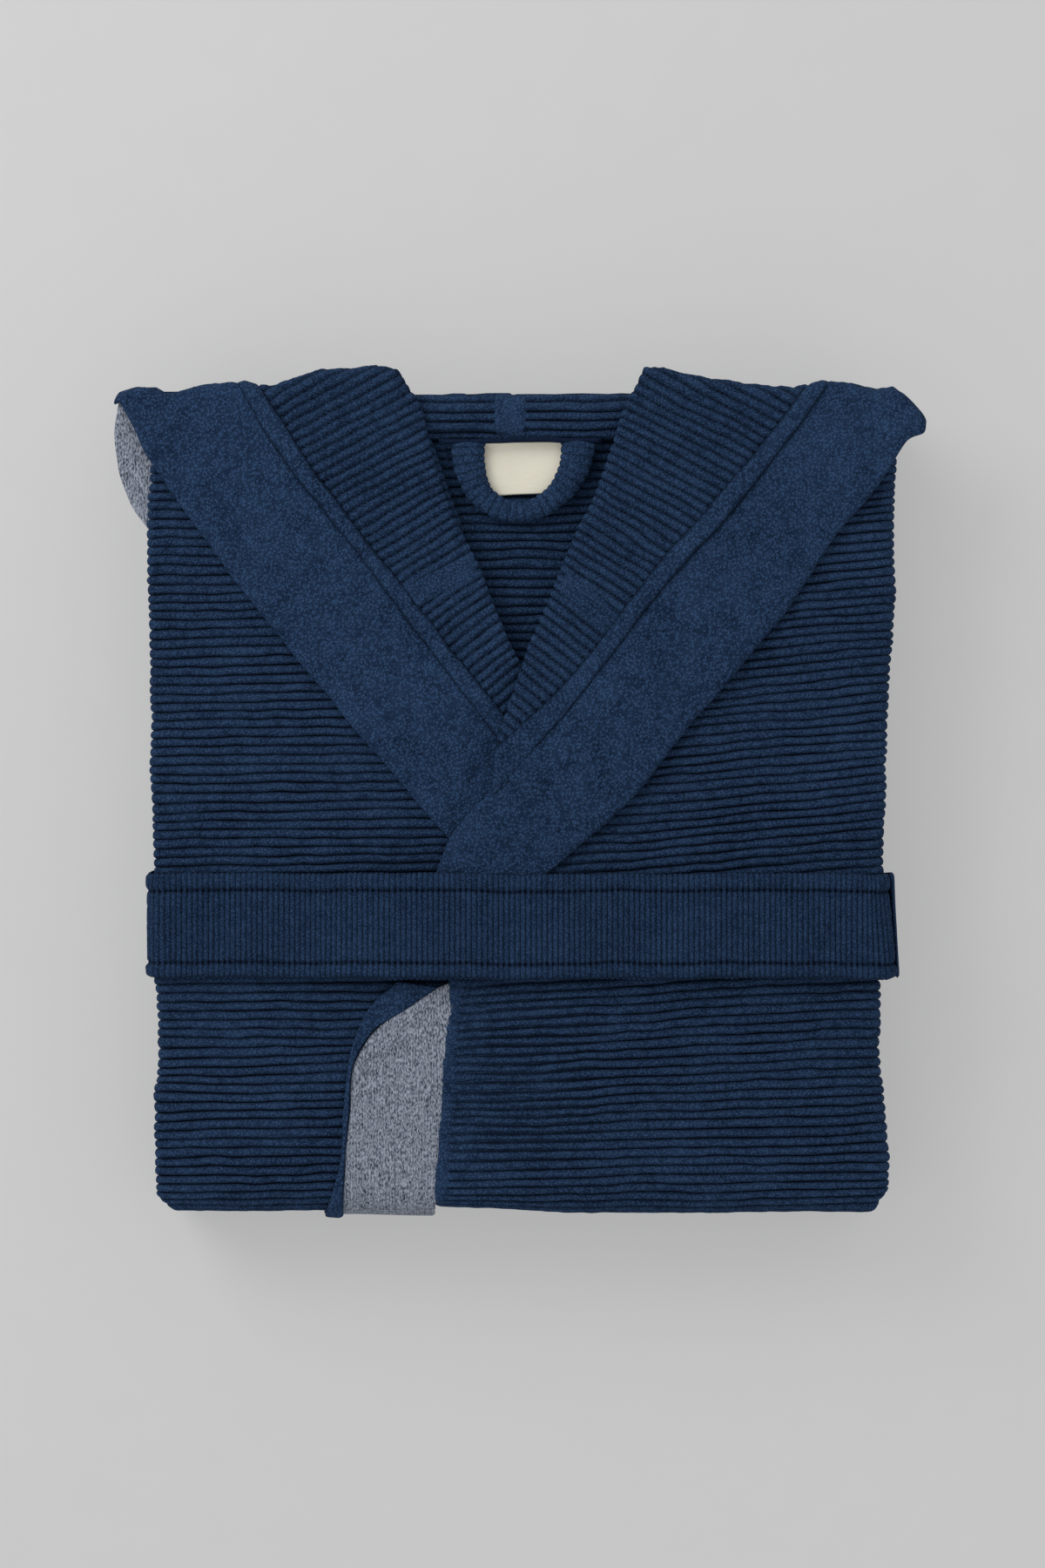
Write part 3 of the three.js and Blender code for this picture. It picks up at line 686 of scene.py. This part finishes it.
def collar(side, edge, ridge_out, ridge_in, roll, band_in, low, seed, hinge_cut):
    """Band, ridge and ribbed part of one side, each one cloth rolled down over the neck end."""
    height, half = collar_height(low), collar_half(side)
    sign = 1 if side == "left" else -1
    top = LEFT_TOP_LINE if side == "left" else RIGHT_TOP_LINE
    wide_in = [(x - 2 * sign, y) for x, y in ridge_in]
    wide_band = [(x + 2 * sign, y) for x, y in band_in]
    band = ruled_cloth(f"collar_band_{side}_cloth", edge, wide_band, height, half, seed, columns=64,
                       rims=(3.5, 3, 4, 4), top=top, step=0.95, nap=0.4)
    ridge = ruled_cloth(f"collar_ridge_{side}_cloth", ridge_out, ridge_in, lambda x, y: height(x, y) + 1.9,
                        half, seed + 10, columns=20, rims=(4.5, 4.5, 4, 4), top=top, step=0.95, nap=0.45,
                        ridge_edge_shade=0.8)
    grain = slanted_ribs(ridge_in[2], 27 * sign, 39 * sign, COLLAR_RIB)
    ribs = ruled_cloth(f"collar_{side}_cloth", wide_in, roll, height, half, seed + 20, ribs=grain, step=0.9,
                       columns=92, rims=(3, 4, 4, 3), top=top, nap=0.35)
    if side == "left":
        reverse_tip(height, seed + 30)
    for piece, material, slot, stem in (
        (band, PLAIN, "plain_terry", "band_"),
        (ridge, PLAIN, "plain_terry", "ridge_"),
        (ribs, RIBBED, "ribbed_terry", ""),
    ):
        nodes = [f"collar_{stem}{side}", f"lapel_{stem}{side}"]
        finish_piece(piece, material, body=None, stands_for=nodes)
        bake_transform(piece)


def reverse_tip(height, seed):
    """Melange reverse of the cloth, showing past the band's outer edge at the tip."""
    outer = [(-202, 195), (-204, 178), (-200, 155), (-195, 142), (-186, 129)]
    inner = [(-170, 192), (-170, 178), (-163, 155), (-158, 142), (-150, 129)]
    piece = ruled_cloth("collar_reverse_left_cloth", outer, inner, lambda x, y: height(x, y) - 6, 0.9, seed,
                        columns=20, rims=(1.5, 1.5, 3, 3))
    finish_piece(piece, MELANGE, body="collar_flap_left")


def seam_strip(side, points_out, points_in, low, seed):
    """Plain strip beside the shoulder seam, across the ribbed part of a lapel."""
    height = collar_height(low)
    piece = ruled_cloth(f"shoulder_seam_{side}_cloth", points_out, points_in, lambda x, y: height(x, y) + 1.3,
                        1.5, seed, columns=16, rims=(2.5, 2.5, 3, 3), step=1.2)
    finish_piece(piece, RIBBED, stands_for=[f"shoulder_seam_{side}"])


def cut_points(side, low):
    """Two points across the shoulder seam, on the line where the collar turns from the pack to its flap."""
    roll_top, cut = {"left": ((-53, 200), (-22, 115)), "right": ((53, 200), (20, 112))}[side]
    along = np.array(roll_top, float) - np.array(cut, float)
    along /= np.linalg.norm(along)
    start, end = np.array(cut) - 4 * along, np.array(cut) + 30 * along
    return [(*(point * MM), low * MM) for point in (start, end)]


def collars():
    collar("left", LEFT_EDGE, LEFT_RIDGE_OUT, LEFT_RIDGE_IN, LEFT_ROLL, LEFT_RIDGE_OUT, COLLAR_LEFT_LOW, 101,
           cut_points("left", COLLAR_LEFT_LOW))
    collar("right", RIGHT_EDGE, RIGHT_RIDGE_OUT, RIGHT_RIDGE_IN, RIGHT_ROLL, RIGHT_BAND_IN, COLLAR_RIGHT_LOW,
           151, cut_points("right", COLLAR_RIGHT_LOW))
    seam_strip("left", [(-64, 100), (-24, 119)], [(-58, 88), (-21, 108)], COLLAR_LEFT_LOW, 201)
    seam_strip("right", [(52, 87), (23, 111)], [(44, 76), (18, 99)], COLLAR_RIGHT_LOW, 211)


# ---- Neck: hood, tape, loop and label ------------------------------------------------------------

def hood():
    path = Path([(NECK_SEAM + 0.5, STRIP_TOP - 1.5), (NECK_SEAM + 5, STRIP_TOP + 1.2, 3),
                 (SHOULDER - 4, STRIP_TOP + 0.5, 7), (SHOULDER - 4, HOOD_LOW, 7), (45, HOOD_LOW)])
    seam_x = 0.5 * (box_mm("hood_centre_seam")[0][0] + box_mm("hood_centre_seam")[1][0])
    thick = knots([(0, 3), (30, 4), (FAR_ON, 4.5)])
    for side, span in (("left", (-58, seam_x - 0.2)), ("right", (seam_x + 0.2, 60))):
        outer = 118 if side == "right" else -118
        edge = knots([(0, span[side == "right"]), (28, span[side == "right"]), (60, outer), (FAR_ON, outer)])
        meet = level(span[side == "left"])
        left, right = (edge, meet) if side == "left" else (meet, edge)
        piece = swept_cloth(f"hood_{side}_cloth", path, left, right, thick, thick, 0, 81 + (side == "right"),
                            columns=20, nose=3)
        finish_piece(piece, RIBBED, stands_for=[f"hood_{side}"])
    seam_path = Path([(NECK_SEAM + 0.5, STRIP_TOP - 1), (NECK_SEAM + 5, STRIP_TOP + 2.2, 3),
                      (SHOULDER - 3, STRIP_TOP + 1.5, 7), (SHOULDER - 3, HOOD_LOW + 5)])
    piece = straight_roll("hood_centre_seam_cloth", seam_path, (seam_x - 7, seam_x + 7), 1.8, 91, 0)
    finish_piece(piece, RIBBED, stands_for=["hood_centre_seam"])


def neck_tape():
    low, high = box_mm("neck_tape")
    piece = ruled_cloth("neck_tape_cloth", [(low[0], high[1]), (0, high[1] + 0.5), (high[0], high[1])],
                        [(low[0] + 1, high[1] - 2.5), (0, high[1] - 2), (high[0] - 1, high[1] - 2.5)],
                        lambda x, y: low[2] + 5 + 0 * x, 1.4, 221, columns=10, rims=(1.5, 1.5, 1.5, 1.5))
    return finish_piece(piece, TAPE, stands_for=["neck_tape"])


def hang_loop():
    low, high = box_mm("hang_loop")
    top_y = high[1]
    middle_z = 0.5 * (low[2] + high[2])
    line = [(-26.5, top_y + 6), (-25.5, top_y - 8), (-19.5, top_y - 22), (-1, top_y - 30.5), (18, top_y - 22),
            (27, top_y - 8), (29.5, top_y + 6)]
    chord = np.linalg.norm(np.diff(np.array(line, float), axis=0), axis=1).sum()
    rows = rib_rows(chord, LOOP_RIB)
    share = rows / chord
    centre = curve(line, share)
    tangent = np.gradient(centre, rows, axis=0)
    tangent /= np.linalg.norm(tangent, axis=1, keepdims=True)
    across = np.stack([-tangent[:, 1], tangent[:, 0]], -1)
    wide = 5.2 + 4.2 * np.abs(2 * share - 1) ** 1.3
    tall = 0.5 * (high[2] - low[2])
    turn = np.linspace(0, 2 * math.pi, 28, endpoint=False)
    crown = rib(share * round(chord / LOOP_RIB))[:, None]
    grow = 1 + 0.1 * (crown - 1) + 0.03 * noise(231, rows[:, None], 20 * np.cos(turn)[None, :], 5)
    end = np.maximum(np.minimum(rim(rows, 1.5), rim(chord - rows, 1.5)), 0.3)[:, None]
    side = wide[:, None] * np.cos(turn)[None, :] * grow * end
    rings = np.stack([centre[:, None, 0] + across[:, None, 0] * side,
                      centre[:, None, 1] + across[:, None, 1] * side,
                      middle_z + tall * np.sin(turn)[None, :] * grow * end], -1)
    # painted shade in the loop's rib grooves
    piece = ring_mesh("hang_loop_cloth", rings, (1 - crown) * 0.6 * np.ones((1, len(turn))))
    finish_piece(piece, RIBBED, body=None, stands_for=["hang_loop"])
    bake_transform(piece)


def neck_label():
    low, high = box_mm("neck_label")
    top_y, left, right = high[1] + 5, low[0], high[0]
    middle = 0.5 * (left + right)
    piece = ruled_cloth("neck_label_cloth", [(left, top_y), (middle, top_y + 0.6), (right, top_y + 0.8)],
                        [(left + 1.5, low[1] + 3.5), (middle, low[1] + 4), (right - 0.5, low[1] + 5)],
                        lambda x, y: low[2] + 0.6 + 0 * x, 0.35, 241, columns=30, rims=(0.6, 0.6, 0.6, 0.6),
                        depth=0)
    finish_piece(piece, LABEL, body=None, stands_for=["neck_label"])
    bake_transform(piece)


# ---- Front facing below the belt -----------------------------------------------------------------

def over_front(rings, top, path):
    """Wraps flat rings that run past the lower fold round the fold."""
    x, y, height = rings[..., 0], rings[..., 1], rings[..., 2] - top
    place, normal = path.at(SHOULDER - y)
    return np.stack([x, place[..., 0] + normal[..., 0] * height, place[..., 1] + normal[..., 1] * height], -1)


def wrap_piece(piece, top, path):
    points = np.empty(len(piece.data.vertices) * 3, np.float32)
    piece.data.vertices.foreach_get("co", points)
    points = over_front(points.reshape(-1, 3) / MM, top, path) * MM
    piece.data.vertices.foreach_set("co", points.astype(np.float32).ravel())
    piece.data.update()


def facing():
    near = BELT_NEAR - 1.8
    end = LOWER_FOLD - 24
    seam = [(-33.5, near), (-36, -137), (-40, -181), (-43, -208), (-44, end)]
    grey_edge = [(-41, near - 3), (-56, -109), (-73, -120), (-82.5, -134), (-86, -164), (-89, -208),
                 (-90, end)]
    free_edge = [(-62, near), (-76, -110), (-84, -127), (-88, -152), (-91.5, -192), (-97, -209),
                 (-100, end)]
    low = LEFT_TOP + 0.5
    top = LEFT_TOP + CLOTH_RISE
    path = front_path(top)

    def creased(x, y):
        along, aside = x + 73, y + 131 - 0.4 * (x + 73)
        return low + 0.3 + 2.4 * np.exp(-(along / 8) ** 2 - (aside / 2.4) ** 2)
    grey = ruled_cloth("facing_melange_cloth", seam, grey_edge, creased, 0.9, 251, columns=34,
                       rims=(1.5, 1.5, 0.8, 3), step=1.2)
    edge = ruled_cloth("facing_edge_cloth", grey_edge, free_edge, lambda x, y: low + 0.2 + 0 * x, 1.5, 261,
                       columns=18, rims=(2.0, 2.5, 0.8, 3), nap=0.3, step=1.0)
    for piece, material, slot, stands_for in (
        (grey, MELANGE, "melange_reverse", ["front_facing"]), (edge, PLAIN, "plain_terry", []),
    ):
        wrap_piece(piece, top, path)
        finish_piece(piece, material, body=None, stands_for=stands_for)
        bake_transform(piece)


# ---- Belt ----------------------------------------------------------------------------------------

def belt_lean(y):
    """How far the belt's right side leans in, most at its upper edge."""
    return BELT_LEAN * smooth((y - BELT_NEAR) / (BELT_FAR - BELT_NEAR))


def belt_turn(name, nested, thick, seed, node, y_shift):
    """One turn of the belt: fine ribs across it, puffed edges and two rows of topstitching."""
    left_top = LEFT_TOP + 0.6
    right_top = BELT_TOP - BELT_BOTH
    side = BELT_SIDE - BELT_BOTH + nested
    low = RECESS + 0.2 - nested
    rise = (-106, -70)
    start = (20, low)
    path = Path([start, (side, low, 2.5 + nested), (side, right_top + nested, 10 + nested),
                 (rise[1], right_top + nested, 9), (rise[0], left_top + nested, 9),
                 (-side, left_top + nested, 8 + nested), (-side, low, 2.5 + nested), start], closed=True)
    count = round(path.length / BELT_RIB)
    s = np.add.outer(np.arange(count), (0.0, 0.14, 0.38, 0.62, 0.86)).ravel() / count * path.length
    half = 0.5 * (BELT_FAR - BELT_NEAR)
    across = np.linspace(-half, half, 70)[None, :]
    upper_stitch, lower_stitch = half - 9.0, 7.5 - half
    sunk = np.exp(-((across - upper_stitch) / 0.9) ** 2) + np.exp(-((across - lower_stitch) / 0.9) ** 2)
    dash = 0.5 + 0.5 * np.sin(s / 3.6 * 2 * math.pi)[:, None]
    edge = rim(half - np.abs(across), 3.5)
    hem_puff = smooth((across - upper_stitch) / 3) + smooth((lower_stitch - across) / 3)
    crown = rib(s / path.length * count)[:, None]
    relief = (thick * edge + 0.8 * hem_puff * edge - 1.1 * sunk * (0.65 + 0.35 * dash)
              + 0.8 * (crown - 1) * (1 - 0.4 * hem_puff) * edge
              + 0.35 * noise(seed, s[:, None], across, 22) * edge
              + 0.25 * noise(seed + 5, s[:, None], across, 1.9) * edge)
    waver = 0.7 * noise(seed + 1, s[:, None], 0 * across, 26) + 0.35 * noise(seed + 2, s[:, None], across, 7)
    scallop = 0.45 * (crown - 1) * np.sign(across) * smooth((np.abs(across) - half + 4) / 4)
    y = 0.5 * (BELT_NEAR + BELT_FAR) + across + waver + scallop + y_shift
    place, outward = path.at(s)
    at_side = smooth((place[:, :1] - side + 16) / 14)
    relief = relief * (1 - 0.25 * np.maximum(-outward[:, 1:], 0))
    top = np.stack([place[:, None, 0] + outward[:, None, 0] * relief - at_side * belt_lean(y), y,
                    place[:, None, 1] + outward[:, None, 1] * relief], -1)
    under = np.linspace(half - 2, 2 - half, 12)[None, :]
    base_y = 0.5 * (BELT_NEAR + BELT_FAR) + under + waver[:, :1] + y_shift
    base = np.stack([place[:, None, 0] - at_side * belt_lean(base_y), base_y,
                     place[:, None, 1] + 0 * under], -1)
    rings = np.concatenate([top, base], 1)
    # painted shade in the rib grooves and along the sunk stitch lines, strongest at the stitches; none on the
    # underside
    painted_groove_shade = 0.75 * (1 - crown) + 0.9 * sunk * (0.5 + 0.5 * dash)
    painted_groove_shade = np.concatenate([painted_groove_shade, np.zeros_like(base_y)], 1)
    piece = ring_mesh(name, rings, np.clip(painted_groove_shade, 0, 1), closed=True)
    finish_piece(piece, BELT_CLOTH, body="belt", stands_for=[node])


def belt():
    belt_turn("belt_inner_turn_cloth", 0.0, 1.7, 301, "belt_inner_turn", -0.7)
    belt_turn("belt_outer_turn_cloth", 2.2, 2.2, 311, "belt_outer_turn", 0.0)
    low, high = box_mm("belt_end")
    piece = ruled_cloth("belt_end_cloth", [(low[2], high[1]), (high[2], high[1] + 1)],
                        [(low[2] + 1, low[1]), (high[2], low[1] - 1)],
                        lambda x, y: low[0] + 0.1 + 0 * x, 0.9, 321, columns=20, rims=(2, 2, 2, 2))
    turn_to_side(piece)
    finish_piece(piece, BELT_CLOTH, body="belt", stands_for=["belt_end"])


def turn_to_side(piece):
    """Stands a sheet made in the XY plane up at the pack's right side: its x and z change places."""
    points = np.empty(len(piece.data.vertices) * 3, np.float32)
    piece.data.vertices.foreach_get("co", points)
    points = points.reshape(-1, 3)[:, [2, 1, 0]]
    points[:, 0] -= belt_lean(points[:, 1] / MM) * MM
    piece.data.vertices.foreach_set("co", points.ravel())
    piece.data.flip_normals()
    piece.data.update()


# ---- Pieces hidden inside the fold ---------------------------------------------------------------

def hidden_pieces():
    for side in ("left", "right"):
        for stem, material, slot in (
            ("pocket", RIBBED, "ribbed_terry"),
            ("belt_loop", BELT_CLOTH, "belt_terry"),
        ):
            low, high = box_mm(f"{stem}_{side}")
            left_side = [(low[0], high[1]), (low[0], low[1])]
            right_side = [(high[0], high[1]), (high[0], low[1])]
            piece = ruled_cloth(f"{stem}_{side}_cloth", left_side, right_side,
                                lambda x, y: low[2] + 0.1 + 0 * x, 0.7, 331, ribs=lambda x, y: y / BODY_RIB,
                                columns=12, rims=(2, 2, 2, 2), depth=0.5)
            finish_piece(piece, material, stands_for=[f"{stem}_{side}"])


# ---- Floor, light and camera ---------------------------------------------------------------------

def stage():
    bpy.ops.mesh.primitive_plane_add(size=12, location=(0, 0, -0.0004))
    floor = bpy.context.object
    floor.name = "floor"
    floor.data.materials.append(plain_floor())
    world = bpy.data.worlds.new("studio")
    bpy.context.scene.world = world
    world.use_nodes = True
    world.node_tree.nodes["Background"].inputs[0].default_value = (1, 1, 1, 1)
    world.node_tree.nodes["Background"].inputs[1].default_value = 0.70
    bpy.context.scene.view_settings.view_transform = "Standard"
    for name, place, power, size in (
        ("key", (-1.1, 0.95, 1.1), 14, 1.0),
        ("fill", (-1.3, 0.2, 2.2), 1.2, 2.2),
    ):
        data = bpy.data.lights.new(name, "AREA")
        data.energy, data.size = power, size
        light = bpy.data.objects.new(name, data)
        light.location = place
        light.rotation_euler = (-light.location).to_track_quat("-Z", "Y").to_euler()
        bpy.context.scene.collection.objects.link(light)


def camera():
    data = bpy.data.cameras.new("camera")
    data.lens, data.sensor_width = 85, 36
    eye = bpy.data.objects.new("camera", data)
    picture_height = 0.783                       # metres of the pack's top plane that the picture spans
    eye.location = (0.001, 0.003, RIGHT_TOP * MM + picture_height * data.lens / data.sensor_width)
    bpy.context.scene.collection.objects.link(eye)
    bpy.context.scene.camera = eye


camera()
stage()
front_left()
front_right()
back_panel()
inner_rolls()
hood()
neck_label()
hang_loop()
collars()
facing()
belt()
hidden_pieces()
